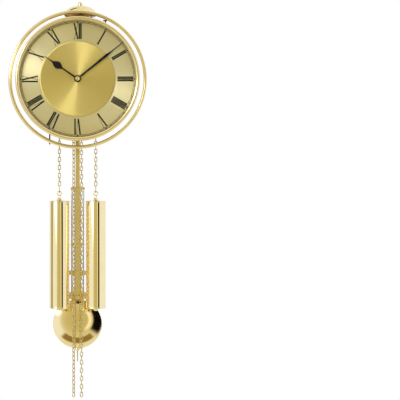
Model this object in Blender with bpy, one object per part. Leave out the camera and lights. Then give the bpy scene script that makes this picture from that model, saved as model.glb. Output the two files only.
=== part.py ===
"""Weight-driven wall clock with pendulum, two chains and a bell.

The origin lies on the wall plane at the height of the dial's axis. The front faces -Y and +Z is up.
Depths are distances from the wall, so a depth d is at y = -d.
"""

import math

import bmesh
import bpy
from mathutils import Vector

MM = 0.001
GAP = 0.3 * MM

# Dial group: radii about the dial's axis, and depths from the wall
DIAL_RADIUS = 108.0 * MM
DIAL_BACK = 104.0 * MM
DIAL_FRONT = 105.2 * MM
DIAL_BORE = 4.2 * MM
CENTRE_DISC_RADIUS = 67.0 * MM
CENTRE_DISC_FRONT = 106.4 * MM
BEZEL_RADIUS = 110.7 * MM
BEZEL_OPENING = 104.6 * MM
BEZEL_BACK = 102.6 * MM
BEZEL_FRONT = 113.8 * MM
BEZEL_WALL = 1.6 * MM
GLASS_RADIUS = 107.6 * MM
GLASS_THICKNESS = 1.6 * MM
GLASS_FRONT = 114.2 * MM
GLASS_RISE = 2.4 * MM
GLASS_SEAT = 112.3 * MM

# Hoop round the bezel, and the struts that hold it
HOOP_RADIUS = 121.0 * MM
HOOP_BAR_RADIUS = 3.1 * MM
HOOP_DEPTH = 98.0 * MM
STRUT_X = 50.0 * MM
STRUT_DEPTH = 93.0 * MM
STRUT_RADIUS = 1.2 * MM

# Case
BACK_PLATE_RADIUS = 92.0 * MM
BACK_PLATE_THICKNESS = 1.5 * MM
BAND_RADIUS = 94.0 * MM
BAND_THICKNESS = 1.2 * MM
BAND_BOTTOM_OPENING = 42.0
BAND_TOP_OPENING = 25.0
KEYHOLE_Z = 74.0 * MM

# Movement
PLATE_HALF_WIDTH = 46.0 * MM
PLATE_BOTTOM = -54.0 * MM
PLATE_TOP = 66.0 * MM
PLATE_CORNER = 3.0 * MM
PLATE_THICKNESS = 1.8 * MM
REAR_PLATE_BACK = 45.0 * MM
FRONT_PLATE_BACK = 88.0 * MM
PILLAR_X = 41.5 * MM
PILLAR_Z = (-49.0 * MM, 60.0 * MM)
PIVOT_RADIUS = 0.8 * MM
ARBOR_RADIUS = 1.5 * MM

# Teeth. A pinion's leaves mesh with the wheel named before it
GREAT_TEETH = 48
CENTRE_LEAVES = 8
CENTRE_TEETH = 48
THIRD_LEAVES = 8
THIRD_TEETH = 42
ESCAPE_LEAVES = 7
ESCAPE_TEETH = 20
CANNON_LEAVES = 10
MINUTE_TEETH = 30
MINUTE_LEAVES = 8
HOUR_TEETH = 32
WHEEL_THICKNESS = 1.4 * MM
REAR_PIVOT = REAR_PLATE_BACK
FRONT_PIVOT = FRONT_PLATE_BACK + PLATE_THICKNESS

# Arbor places, x and z from the dial's axis
SPROCKET_X = 20.1 * MM
SPROCKET_Z = -24.0 * MM
THIRD_PLACE = (13.5 * MM, 15.3 * MM)
ESCAPE_PLACE = (0.0, 24.0 * MM)
ANCHOR_PLACE = (0.0, 50.0 * MM)
HAMMER_PLACE = (33.0 * MM, 47.0 * MM)
MINUTE_WHEEL_PLACE = (12.5 * MM, -7.2 * MM)

# Chains and weights
CHAIN_DEPTH = 67.5 * MM
CHAIN_RADIUS = 13.0 * MM
CHAIN_WIDTH = 5.6 * MM
FREE_CHAIN_BOTTOM = -575.0 * MM
WEIGHT_X = SPROCKET_X + CHAIN_RADIUS
WEIGHT_RADIUS = 18.4 * MM
WEIGHT_TOP = -217.0 * MM
WEIGHT_BOTTOM = -412.3 * MM
WEIGHT_NUT_BOTTOM = -417.4 * MM
WEIGHT_WALL = 0.8 * MM
EYE_Z = -203.7 * MM
EYE_RADIUS = 3.7 * MM
EYE_WIRE = 1.0 * MM

# Pendulum
PENDULUM_DEPTH = 28.0 * MM
ROD_WIDTH = 7.9 * MM
ROD_THICKNESS = 1.6 * MM
GRID_ROD_X = (5.35 * MM, 11.1 * MM)
GRID_ROD_RADIUS = 1.3 * MM
GRID_TOP = -194.0 * MM
GRID_BOTTOM = -396.0 * MM
BAR_THICKNESS = 5.0 * MM
FOOT_HALF_WIDTH = 17.5 * MM
FOOT_TOP = -387.5 * MM
FOOT_BOTTOM = -407.0 * MM
YOKE_HALF_WIDTH = 11.6 * MM
YOKE_BOTTOM = -417.3 * MM
BOB_Z = -446.2 * MM
BOB_RADIUS = 45.6 * MM
BOB_HALF_THICKNESS = 10.5 * MM
RATING_SCREW_BOTTOM = -516.8 * MM

# Bell
BELL_X = 4.9 * MM
BELL_DEPTH = 50.0 * MM
BELL_RADIUS = 29.5 * MM
BELL_RIM_Z = 124.0 * MM
BELL_TOP_Z = 140.3 * MM
BELL_WALL = 1.4 * MM
BELL_NUT_TOP = 149.0 * MM

# Hands, at eight and a half minutes past ten
MINUTE_ANGLE = 51.2
HOUR_ANGLE = 304.2
MINUTE_LENGTH = 104.5 * MM
HOUR_LENGTH = 70.5 * MM
HOUR_HAND_BACK = 107.2 * MM
MINUTE_HAND_BACK = 109.0 * MM
HAND_THICKNESS = 0.8 * MM
HAND_BOSS_RADIUS = 6.2 * MM
HAND_ARBOR_TIP = 111.4 * MM
HAND_NUT_RADIUS = 4.1 * MM
HAND_NUT_THICKNESS = 1.9 * MM

ROUND = 48
MEDIUM = 24
SMALL = 12
TINY = 8

COLOURS = {
    "polished_brass": ((0.83, 0.62, 0.24), 0.12, 1.0),
    "satin_brass": ((0.78, 0.60, 0.27), 0.38, 1.0),
    "dial_gold": ((0.86, 0.74, 0.45), 0.42, 1.0),
    "chrome": ((0.80, 0.80, 0.80), 0.08, 1.0),
    "steel": ((0.52, 0.52, 0.53), 0.30, 1.0),
    "blackened_steel": ((0.012, 0.012, 0.012), 0.38, 1.0),
    "black_paint": ((0.010, 0.010, 0.010), 0.42, 0.0),
    "lead": ((0.25, 0.25, 0.26), 0.70, 1.0),
    "glass": ((0.95, 0.97, 0.96), 0.03, 0.0),
}


# Helpers

def clear_scene():
    for obj in list(bpy.data.objects):
        bpy.data.objects.remove(obj)


def material(name):
    colour, roughness, metallic = COLOURS[name]
    made = bpy.data.materials.new(name)
    made.use_nodes = True
    shader = made.node_tree.nodes["Principled BSDF"]
    shader.inputs["Base Color"].default_value = (*colour, 1.0)
    shader.inputs["Roughness"].default_value = roughness
    shader.inputs["Metallic"].default_value = metallic
    if name == "glass":
        shader.inputs["Transmission Weight"].default_value = 1.0
    made.diffuse_color = (*colour, 1.0)
    return made


def place(bm, name, finish, pivot=(0.0, 0.0, 0.0)):
    """Turns a bmesh into an object whose origin is at its pivot."""
    bmesh.ops.recalc_face_normals(bm, faces=bm.faces)
    bmesh.ops.translate(bm, verts=bm.verts, vec=-Vector(pivot))
    mesh = bpy.data.meshes.new(name)
    bm.to_mesh(mesh)
    bm.free()
    mesh.shade_smooth()
    mesh.set_sharp_from_angle(angle=math.radians(35))
    obj = bpy.data.objects.new(name, mesh)
    obj.location = pivot
    obj.data.materials.append(material(finish))
    bpy.context.scene.collection.objects.link(obj)
    return obj


def along_y(x, z):
    """A turning axis that runs out from the wall, at x and z."""
    return lambda radius, along, angle: (
        x + radius * math.cos(angle), -along, z + radius * math.sin(angle)
    )


def along_z(x, depth):
    """An upright turning axis, at x and a depth."""
    return lambda radius, along, angle: (
        x + radius * math.cos(angle), -depth + radius * math.sin(angle), along
    )


def turned_bmesh(profile, axis, sides):
    """Spins a profile of (radius, place along the axis). A profile that starts and ends at radius 0 is a
    solid, and any other closes on itself as a ring."""
    bm = bmesh.new()
    rings = []
    for radius, along in profile:
        count = sides if radius > 0 else 1
        rings.append([
            bm.verts.new(axis(radius, along, 2 * math.pi * i / sides)) for i in range(count)
        ])
    solid = profile[0][0] == 0 and profile[-1][0] == 0
    following = rings[1:] if solid else rings[1:] + rings[:1]
    for low, high in zip(rings, following):
        for i in range(sides):
            j = (i + 1) % sides
            corners = [low[i % len(low)], low[j % len(low)], high[j % len(high)], high[i % len(high)]]
            bm.faces.new(list(dict.fromkeys(corners)))
    return bm


def turned(name, finish, profile, axis, sides=MEDIUM, pivot=(0.0, 0.0, 0.0)):
    return place(turned_bmesh(profile, axis, sides), name, finish, pivot)


def plate_bmesh(outline, back, front, holes=()):
    """Extrudes an outline of (x, z) points, with holes, between two depths from the wall."""
    bm = bmesh.new()
    for loop in (outline, *holes):
        corners = [bm.verts.new((x, -back, z)) for x, z in loop]
        for start, end in zip(corners, corners[1:] + corners[:1]):
            bm.edges.new((start, end))
    bmesh.ops.triangle_fill(bm, edges=bm.edges, use_beauty=True)
    grown = bmesh.ops.extrude_face_region(bm, geom=bm.faces)
    moved = [part for part in grown["geom"] if isinstance(part, bmesh.types.BMVert)]
    bmesh.ops.translate(bm, verts=moved, vec=(0.0, back - front, 0.0))
    return bm


def plate(name, finish, outline, back, front, holes=(), pivot=(0.0, 0.0, 0.0)):
    return place(plate_bmesh(outline, back, front, holes), name, finish, pivot)


def helper(bm, name):
    """A guide shape for a Boolean. It isn't a part of its own."""
    obj = place(bm, name, "steel")
    obj.hide_render = True
    obj.display_type = "WIRE"
    return obj


def boolean(obj, operation, bm, name):
    modifier = obj.modifiers.new(name, "BOOLEAN")
    modifier.operation = operation
    modifier.solver = "EXACT"
    modifier.object = helper(bm, f"guide_{obj.name}_{name}")


def circle(centre, radius, sides=SMALL):
    x, z = centre
    return [
        (x + radius * math.cos(2 * math.pi * i / sides), z + radius * math.sin(2 * math.pi * i / sides))
        for i in range(sides)
    ]


def rectangle(left, right, bottom, top):
    return [(left, bottom), (right, bottom), (right, top), (left, top)]


def cut_corner_rectangle(half_width, bottom, top, corner):
    return [
        (-half_width + corner, bottom), (half_width - corner, bottom),
        (half_width, bottom + corner), (half_width, top - corner),
        (half_width - corner, top), (-half_width + corner, top),
        (-half_width, top - corner), (-half_width, bottom + corner),
    ]


def capsule(half_width, half_height, centre_z, steps=6):
    """An upright-ended bar: a rectangle with round ends."""
    points = []
    for side in (1, -1):
        for i in range(steps + 1):
            angle = math.pi * i / steps - math.pi / 2
            x = side * (half_width - half_height + half_height * math.cos(angle))
            points.append((x, centre_z + side * half_height * math.sin(angle)))
    return points


def turn(points, degrees):
    """Turns (x, z) points clockwise about the dial's axis, as seen from the front."""
    angle = math.radians(degrees)
    cos, sin = math.cos(angle), math.sin(angle)
    return [(x * cos + z * sin, z * cos - x * sin) for x, z in points]


def direction(start, end):
    return math.atan2(end[1] - start[1], end[0] - start[0])


def gear_outline(centre, teeth, module, toward, gap_there=False):
    """Pointed teeth with straight flanks. One tooth, or one gap, points at the mating wheel."""
    pitch = 2 * math.pi / teeth
    tip = module * (teeth / 2 + 0.75)
    root = module * (teeth / 2 - 1.25)
    start = toward + (pitch / 2 if gap_there else 0.0)
    points = []
    for i in range(teeth):
        middle = start + i * pitch
        for radius, offset in ((root, -0.30), (tip, 0.0), (root, 0.30)):
            angle = middle + offset * pitch
            points.append((centre[0] + radius * math.cos(angle), centre[1] + radius * math.sin(angle)))
    return points


def spoke_windows(centre, hub, rim, spokes, spoke_width):
    """The openings between a wheel's spokes."""
    windows = []
    for i in range(spokes):
        low = 2 * math.pi * i / spokes
        high = low + 2 * math.pi / spokes
        points = []
        for radius, steps in ((rim, 4), (hub, 1)):
            margin = spoke_width / 2 / radius
            ends = (low + margin, high - margin) if radius == rim else (high - margin, low + margin)
            for k in range(steps + 1):
                angle = ends[0] + (ends[1] - ends[0]) * k / steps
                points.append((centre[0] + radius * math.cos(angle), centre[1] + radius * math.sin(angle)))
        windows.append(points)
    return windows


def arbor_profile(back, front, radius=ARBOR_RADIUS, back_pivot=True, front_pivot=True):
    """A shaft between two depths with a thin pivot at each end that enters a plate."""
    shoulder = PLATE_THICKNESS + 2 * GAP
    inner_back = back + shoulder if back_pivot else back
    inner_front = front - shoulder if front_pivot else front
    points = [(0, back)]
    if back_pivot:
        points += [(PIVOT_RADIUS, back), (PIVOT_RADIUS, inner_back)]
    points += [(radius, inner_back), (radius, inner_front)]
    if front_pivot:
        points += [(PIVOT_RADIUS, inner_front), (PIVOT_RADIUS, front)]
    return points + [(0, front)]


def wheel_on_arbor(name, place_xz, wheel, arbor, pinion=None, finish="satin_brass"):
    """A spoked wheel, its arbor and its pinion, as one piece that turns about its arbor.
    wheel and pinion are (outline, back, front, holes)."""
    pivot = (place_xz[0], 0.0, place_xz[1])
    outline, back, front, holes = wheel
    obj = plate(name, finish, outline, back, front, holes, pivot)
    boolean(obj, "UNION", turned_bmesh(arbor, along_y(*place_xz), 12), "arbor")
    if pinion:
        boolean(obj, "UNION", plate_bmesh(*pinion), "pinion")
    return obj


# Case and dial

def make_back_plate():
    slot = circle((0.0, KEYHOLE_Z), 4.5 * MM, SMALL)
    neck = rectangle(-2.2 * MM, 2.2 * MM, KEYHOLE_Z + 4.0 * MM, KEYHOLE_Z + 11.0 * MM)
    keyhole = [point for point in slot if point[1] < KEYHOLE_Z + 3.6 * MM]
    keyhole.sort(key=lambda point: (math.degrees(direction((0.0, KEYHOLE_Z), point)) - 90) % 360)
    keyhole += [neck[1], neck[2], neck[3], neck[0]]
    plate(
        "back_plate", "satin_brass", circle((0.0, 0.0), BACK_PLATE_RADIUS, ROUND),
        0.0, BACK_PLATE_THICKNESS, [keyhole],
    )


def make_case_band():
    """A sheet wall round the movement: open below for the chains, notched on top for the bell."""
    low = -90 + BAND_BOTTOM_OPENING
    high = 270 - BAND_BOTTOM_OPENING
    steps = 54
    outer, inner = [], []
    for i in range(steps + 1):
        angle = math.radians(low + (high - low) * i / steps)
        for radius, points in ((BAND_RADIUS, outer), (BAND_RADIUS - BAND_THICKNESS, inner)):
            points.append((radius * math.cos(angle), radius * math.sin(angle)))
    band = plate(
        "case_band", "satin_brass", outer + inner[::-1], BACK_PLATE_THICKNESS + GAP, DIAL_BACK - GAP
    )
    half_width = BAND_RADIUS * math.sin(math.radians(BAND_TOP_OPENING))
    notch = rectangle(-half_width, half_width, BAND_RADIUS / 2, BAND_RADIUS + 10.0 * MM)
    boolean(band, "DIFFERENCE", plate_bmesh(notch, REAR_PLATE_BACK, BEZEL_FRONT), "notch")


def make_dial():
    plate(
        "dial_plate", "dial_gold", circle((0.0, 0.0), DIAL_RADIUS, ROUND),
        DIAL_BACK, DIAL_FRONT, [circle((0.0, 0.0), DIAL_BORE)],
    )
    chamfer = 0.8 * MM
    back = DIAL_FRONT + GAP
    turned("dial_centre_disc", "satin_brass", [
        (DIAL_BORE, back), (CENTRE_DISC_RADIUS, back), (CENTRE_DISC_RADIUS, CENTRE_DISC_FRONT - chamfer / 2),
        (CENTRE_DISC_RADIUS - chamfer, CENTRE_DISC_FRONT), (DIAL_BORE, CENTRE_DISC_FRONT),
    ], along_y(0.0, 0.0), ROUND)


def make_bezel():
    """The bezel and its domed glass swing on an upright hinge line at the left edge."""
    pivot = (-BEZEL_RADIUS, -BEZEL_BACK, 0.0)
    inner = BEZEL_RADIUS - BEZEL_WALL
    crown_width, crown_height = 3.1 * MM, 4.0 * MM
    crown = []
    for i in range(5):
        angle = math.radians(90 * i / 4)
        crown.append((
            BEZEL_RADIUS - crown_width + crown_width * math.cos(angle),
            BEZEL_FRONT - crown_height + crown_height * math.sin(angle),
        ))
    lip_edge = GLASS_SEAT + 0.4 * MM
    turned("bezel", "polished_brass", [
        (inner, BEZEL_BACK), (BEZEL_RADIUS, BEZEL_BACK), *crown,
        (BEZEL_OPENING + 1.0 * MM, BEZEL_FRONT - 0.2 * MM),
        (BEZEL_OPENING, lip_edge), (BEZEL_OPENING, GLASS_SEAT), (inner, GLASS_SEAT),
    ], along_y(0.0, 0.0), ROUND, pivot)
    dome = []
    for share in (0.0, 0.35, 0.7, 1.0):
        dome.append((GLASS_RADIUS * share, GLASS_FRONT - GLASS_RISE * share ** 2))
    hollow = [(radius, depth - GLASS_THICKNESS) for radius, depth in dome]
    turned("dial_glass", "glass", hollow + dome[::-1], along_y(0.0, 0.0), ROUND, pivot)


def make_hoop():
    section = [
        (HOOP_RADIUS + HOOP_BAR_RADIUS * math.cos(2 * math.pi * i / 8),
         HOOP_DEPTH + HOOP_BAR_RADIUS * math.sin(2 * math.pi * i / 8))
        for i in range(8)
    ]
    turned("hoop_ring", "polished_brass", section, along_y(0.0, 0.0), ROUND)


def make_struts():
    """Two upright black pins that run from the bezel's back edge out to the hoop."""
    reach = {1: (80.3 * MM, 106.5 * MM), -1: (-116.0 * MM, -80.3 * MM)}
    for side, name in ((1, "hoop_strut_upper"), (-1, "hoop_strut_lower")):
        low, high = reach[side]
        obj = turned(name, "blackened_steel", [
            (0, low), (STRUT_RADIUS, low), (STRUT_RADIUS, high), (0, high),
        ], along_z(side * STRUT_X, STRUT_DEPTH), 12)
        if side > 0:
            head = rectangle(STRUT_X - 4.2 * MM, STRUT_X + 2.6 * MM, 105.2 * MM, 107.0 * MM)
            boolean(obj, "UNION", plate_bmesh(head, STRUT_DEPTH - 2.0 * MM, STRUT_DEPTH + 1.4 * MM), "head")


# Movement frame

def make_movement_plates():
    outline = cut_corner_rectangle(PLATE_HALF_WIDTH, PLATE_BOTTOM, PLATE_TOP, PLATE_CORNER)
    pillar_holes = [circle((side * PILLAR_X, z), 2.3 * MM, 12) for side in (-1, 1) for z in PILLAR_Z]
    pivots = [THIRD_PLACE, ESCAPE_PLACE, ANCHOR_PLACE, HAMMER_PLACE]
    pivots += [(side * SPROCKET_X, SPROCKET_Z) for side in (-1, 1)]
    pivot_holes = [circle(centre, PIVOT_RADIUS + GAP, TINY) for centre in pivots]
    rear_centre = circle((0.0, 0.0), PIVOT_RADIUS + GAP, TINY)
    front_centre = circle((0.0, 0.0), ARBOR_RADIUS + GAP, 12)
    plate(
        "movement_rear_plate", "satin_brass", outline, REAR_PLATE_BACK, REAR_PLATE_BACK + PLATE_THICKNESS,
        [*pillar_holes, *pivot_holes, rear_centre],
    )
    plate(
        "movement_front_plate", "satin_brass", outline, FRONT_PLATE_BACK, FRONT_PLATE_BACK + PLATE_THICKNESS,
        [*pillar_holes, *pivot_holes, front_centre, circle(MINUTE_WHEEL_PLACE, PIVOT_RADIUS + GAP, TINY)],
    )


def make_pillars():
    body, neck, nut = 3.5 * MM, 2.0 * MM, 4.4 * MM
    rear_front = REAR_PLATE_BACK + PLATE_THICKNESS
    front_front = FRONT_PLATE_BACK + PLATE_THICKNESS
    profile = [
        (0, BACK_PLATE_THICKNESS + GAP), (body, BACK_PLATE_THICKNESS + GAP), (body, REAR_PLATE_BACK - GAP),
        (neck, REAR_PLATE_BACK - GAP), (neck, rear_front + GAP), (body, rear_front + GAP),
        (body, FRONT_PLATE_BACK - GAP), (neck, FRONT_PLATE_BACK - GAP), (neck, front_front + GAP),
        (nut, front_front + GAP), (nut, front_front + 3.3 * MM), (neck, front_front + 3.3 * MM),
        (neck, DIAL_BACK - GAP), (0, DIAL_BACK - GAP),
    ]
    names = {(-1, 0): "pillar_lower_left", (1, 0): "pillar_lower_right",
             (-1, 1): "pillar_upper_left", (1, 1): "pillar_upper_right"}
    for (side, level), name in names.items():
        turned(name, "satin_brass", profile, along_y(side * PILLAR_X, PILLAR_Z[level]), TINY)


# Wheels

def module_of(start, end, teeth, leaves):
    """The tooth size that makes two wheels mesh at this distance."""
    return 2 * math.hypot(end[0] - start[0], end[1] - start[1]) / (teeth + leaves)


def spoked(centre, outline, back, teeth, module, spokes=4):
    rim = module * (teeth / 2 - 1.25) - 1.6 * MM
    windows = spoke_windows(centre, 4.2 * MM, rim, spokes, 2.0 * MM)
    return (outline, back, back + WHEEL_THICKNESS, windows)


def make_going_train():
    centre = (0.0, 0.0)
    time_place = (SPROCKET_X, SPROCKET_Z)
    great_back, centre_back, third_back = 54.0 * MM, 80.0 * MM, 74.0 * MM
    great_module = module_of(time_place, centre, GREAT_TEETH, CENTRE_LEAVES)
    centre_module = module_of(centre, THIRD_PLACE, CENTRE_TEETH, THIRD_LEAVES)
    third_module = module_of(THIRD_PLACE, ESCAPE_PLACE, THIRD_TEETH, ESCAPE_LEAVES)
    arbor = arbor_profile(REAR_PIVOT, FRONT_PIVOT)

    outline = gear_outline(time_place, GREAT_TEETH, great_module, direction(time_place, centre))
    wheel_on_arbor(
        "great_wheel_time", time_place, spoked(time_place, outline, great_back, GREAT_TEETH, great_module),
        arbor_profile(REAR_PIVOT, FRONT_PIVOT, 2.0 * MM),
    )

    outline = gear_outline(centre, CENTRE_TEETH, centre_module, direction(centre, THIRD_PLACE))
    leaves = gear_outline(centre, CENTRE_LEAVES, great_module, direction(centre, time_place), True)
    wheel_on_arbor(
        "centre_wheel", centre, spoked(centre, outline, centre_back, CENTRE_TEETH, centre_module),
        [(0, REAR_PIVOT), (PIVOT_RADIUS, REAR_PIVOT), (PIVOT_RADIUS, REAR_PIVOT + PLATE_THICKNESS + GAP),
         (ARBOR_RADIUS, REAR_PIVOT + PLATE_THICKNESS + GAP), (ARBOR_RADIUS, FRONT_PIVOT),
         (1.0 * MM, FRONT_PIVOT), (1.0 * MM, HAND_ARBOR_TIP), (0, HAND_ARBOR_TIP)],
        (leaves, great_back - 1.5 * MM, great_back + 3.5 * MM),
    )

    outline = gear_outline(THIRD_PLACE, THIRD_TEETH, third_module, direction(THIRD_PLACE, ESCAPE_PLACE))
    leaves = gear_outline(THIRD_PLACE, THIRD_LEAVES, centre_module, direction(THIRD_PLACE, centre), True)
    wheel_on_arbor(
        "third_wheel", THIRD_PLACE, spoked(THIRD_PLACE, outline, third_back, THIRD_TEETH, third_module),
        arbor, (leaves, centre_back - 1.5 * MM, centre_back + 3.5 * MM),
    )

    toward_third = direction(ESCAPE_PLACE, THIRD_PLACE)
    leaves = gear_outline(ESCAPE_PLACE, ESCAPE_LEAVES, third_module, toward_third, True)
    escape_back = 51.0 * MM
    wheel_on_arbor(
        "escape_wheel", ESCAPE_PLACE,
        (escape_outline(), escape_back, escape_back + WHEEL_THICKNESS,
         spoke_windows(ESCAPE_PLACE, 2.8 * MM, 7.2 * MM, 4, 1.6 * MM)),
        arbor, (leaves, third_back - 1.5 * MM, third_back + 3.5 * MM),
    )


def escape_outline():
    """Sharp teeth that lean to one side."""
    tip, root = 11.0 * MM, 8.6 * MM
    points = []
    for i in range(ESCAPE_TEETH):
        for radius, share in ((root, 0.0), (tip, 0.55), (tip, 0.62), (root, 0.70)):
            angle = 2 * math.pi * (i + share) / ESCAPE_TEETH
            points.append((
                ESCAPE_PLACE[0] + radius * math.cos(angle), ESCAPE_PLACE[1] + radius * math.sin(angle)
            ))
    return points


def make_anchor():
    """The pallets between the plates and the crutch behind the rear plate, on one arbor."""
    x, z = ANCHOR_PLACE
    span, reach = 12.6 * MM, 35.0 * MM
    right = [
        (x + 2.2 * MM, z - 3.6 * MM), (x + 9.6 * MM, z - 10.0 * MM),
        (x + span - 0.6 * MM, reach - 4.6 * MM), (x + span + 0.8 * MM, reach - 6.0 * MM),
        (x + span + 1.6 * MM, z - 11.0 * MM), (x + 3.0 * MM, z + 2.6 * MM),
    ]
    outline = right + [(2 * x - across, height) for across, height in right[::-1]]
    obj = plate("anchor_and_crutch", "steel", outline, 50.6 * MM, 53.0 * MM, pivot=(x, 0.0, z))
    crutch_front = 40.0 * MM
    arbor = [
        (0, crutch_front - 1.5 * MM), (PIVOT_RADIUS, crutch_front - 1.5 * MM),
        (PIVOT_RADIUS, REAR_PLATE_BACK + PLATE_THICKNESS + GAP),
        (ARBOR_RADIUS, REAR_PLATE_BACK + PLATE_THICKNESS + GAP), (ARBOR_RADIUS, FRONT_PLATE_BACK - GAP),
        (PIVOT_RADIUS, FRONT_PLATE_BACK - GAP), (PIVOT_RADIUS, FRONT_PIVOT), (0, FRONT_PIVOT),
    ]
    boolean(obj, "UNION", turned_bmesh(arbor, along_y(x, z), 12), "arbor")
    arm = rectangle(-2.0 * MM, 2.0 * MM, -14.0 * MM, z + 2.5 * MM)
    boolean(obj, "UNION", plate_bmesh(arm, crutch_front - 1.2 * MM, crutch_front), "arm")
    half_slot = ROD_WIDTH / 2 + 0.4 * MM
    for side, name in ((-1, "fork_left"), (1, "fork_right")):
        inner, outer = side * half_slot, side * (half_slot + 1.6 * MM)
        prong = rectangle(min(inner, outer), max(inner, outer), -14.0 * MM, -10.0 * MM)
        boolean(obj, "UNION", plate_bmesh(prong, PENDULUM_DEPTH - 1.6 * MM, crutch_front), name)
    crossbar = rectangle(-half_slot - 1.6 * MM, half_slot + 1.6 * MM, -14.0 * MM, -10.0 * MM)
    boolean(obj, "UNION", plate_bmesh(crossbar, crutch_front - 1.2 * MM, crutch_front), "crossbar")


def make_suspension():
    """A cock on the rear plate holds a flat spring, and the pendulum hangs from the spring."""
    z = ANCHOR_PLACE[1]
    block = rectangle(-7.0 * MM, 7.0 * MM, z + 6.0 * MM, z + 12.0 * MM)
    slot = rectangle(-3.4 * MM, 3.4 * MM, z + 5.0 * MM, z + 13.0 * MM)
    obj = plate("suspension_cock", "satin_brass", block, PENDULUM_DEPTH - 3.0 * MM, REAR_PLATE_BACK - GAP)
    boolean(obj, "DIFFERENCE",
            plate_bmesh(slot, PENDULUM_DEPTH - 0.6 * MM, PENDULUM_DEPTH + 0.6 * MM), "slot")
    plate(
        "suspension_spring", "steel", rectangle(-3.0 * MM, 3.0 * MM, z, z + 11.0 * MM),
        PENDULUM_DEPTH - 0.2 * MM, PENDULUM_DEPTH + 0.2 * MM,
    )


def make_strike():
    place_xz = (-SPROCKET_X, SPROCKET_Z)
    module = module_of(place_xz, (0.0, 0.0), GREAT_TEETH, CENTRE_LEAVES)
    outline = gear_outline(place_xz, GREAT_TEETH, module, 0.0)
    wheel_on_arbor(
        "great_wheel_strike", place_xz, spoked(place_xz, outline, 83.0 * MM, GREAT_TEETH, module * 0.98),
        arbor_profile(REAR_PIVOT, FRONT_PIVOT, 2.0 * MM),
    )
    make_hammer()


def make_hammer():
    """The arm rises from its arbor to a round head inside the bell's rim."""
    x, z = HAMMER_PLACE
    depth = BELL_DEPTH
    head_x, head_z = BELL_X + BELL_RADIUS - 9.6 * MM, BELL_RIM_Z + 1.0 * MM
    half = 1.1 * MM
    arm = [
        (x - half, z), (x + half, z), (x + half, head_z - 22.0 * MM), (head_x + half, head_z - 4.0 * MM),
        (head_x + half, head_z), (head_x - half, head_z), (head_x - half, head_z - 4.5 * MM),
        (x - half, head_z - 22.5 * MM),
    ]
    obj = plate("hammer", "steel", arm, depth - half, depth + half, pivot=(x, 0.0, z))
    boolean(obj, "UNION", turned_bmesh(arbor_profile(REAR_PIVOT, FRONT_PIVOT), along_y(x, z), 12), "arbor")
    head = [
        (head_x - 4.0 * MM, head_z - 3.0 * MM), (head_x + 4.0 * MM, head_z - 3.0 * MM),
        (head_x + 5.0 * MM, head_z - 2.0 * MM), (head_x + 5.0 * MM, head_z + 2.0 * MM),
        (head_x + 4.0 * MM, head_z + 3.0 * MM), (head_x - 4.0 * MM, head_z + 3.0 * MM),
    ]
    boolean(obj, "UNION", plate_bmesh(head, depth - 3.5 * MM, depth + 3.5 * MM), "head")


def make_motion_work():
    """Cannon pinion, minute wheel and hour wheel, between the front plate and the dial."""
    centre = (0.0, 0.0)
    first = module_of(centre, MINUTE_WHEEL_PLACE, MINUTE_TEETH, CANNON_LEAVES)
    second = module_of(centre, MINUTE_WHEEL_PLACE, HOUR_TEETH, MINUTE_LEAVES)
    cannon_back = FRONT_PIVOT + 0.8 * MM
    bore = 1.3 * MM
    leaves = gear_outline(centre, CANNON_LEAVES, first, direction(centre, MINUTE_WHEEL_PLACE), True)
    cannon = plate(
        "cannon_pinion", "steel", leaves, cannon_back, cannon_back + 3.2 * MM, [circle(centre, bore, 12)]
    )
    pipe_front = MINUTE_HAND_BACK - GAP
    pipe = [(bore, cannon_back), (2.0 * MM, cannon_back), (2.0 * MM, pipe_front), (bore, pipe_front)]
    boolean(cannon, "UNION", turned_bmesh(pipe, along_y(0.0, 0.0), 12), "pipe")

    inward = direction(MINUTE_WHEEL_PLACE, centre)
    outline = gear_outline(MINUTE_WHEEL_PLACE, MINUTE_TEETH, first, inward)
    leaves = gear_outline(MINUTE_WHEEL_PLACE, MINUTE_LEAVES, second, inward, True)
    hour_back = cannon_back + 5.0 * MM
    wheel_on_arbor(
        "minute_wheel", MINUTE_WHEEL_PLACE,
        (outline, cannon_back + 0.8 * MM, cannon_back + 2.2 * MM, ()),
        [(0, FRONT_PLATE_BACK), (PIVOT_RADIUS, FRONT_PLATE_BACK), (PIVOT_RADIUS, FRONT_PIVOT + GAP),
         (ARBOR_RADIUS, FRONT_PIVOT + GAP), (ARBOR_RADIUS, DIAL_BACK - 2 * GAP), (0, DIAL_BACK - 2 * GAP)],
        (leaves, cannon_back + 2.0 * MM, hour_back + 2.4 * MM),
    )

    hour_bore = 2.3 * MM
    outline = gear_outline(centre, HOUR_TEETH, second, direction(centre, MINUTE_WHEEL_PLACE))
    hour_wheel = plate(
        "hour_wheel", "satin_brass", outline, hour_back, hour_back + WHEEL_THICKNESS,
        [circle(centre, hour_bore, 12)],
    )
    pipe = [(hour_bore, hour_back), (3.3 * MM, hour_back), (3.3 * MM, HOUR_HAND_BACK - GAP),
            (hour_bore, HOUR_HAND_BACK - GAP)]
    boolean(hour_wheel, "UNION", turned_bmesh(pipe, along_y(0.0, 0.0), 12), "pipe")


# Hands

def hand_outline(length, boss, stations, degrees):
    """A symmetric hand: half widths at stations along its length, and a round boss at its root."""
    right = []
    first_z, first_half = stations[0]
    start = math.asin(first_half / boss)
    steps = 10
    for i in range(steps):
        angle = math.pi + (start - math.pi) * i / steps
        right.append((boss * math.sin(angle), boss * math.cos(angle)))
    right += [(half, z) for z, half in stations]
    left = [(-x, z) for x, z in right[:0:-1]]
    return turn(right + [(0.0, length)] + left, degrees)


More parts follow.
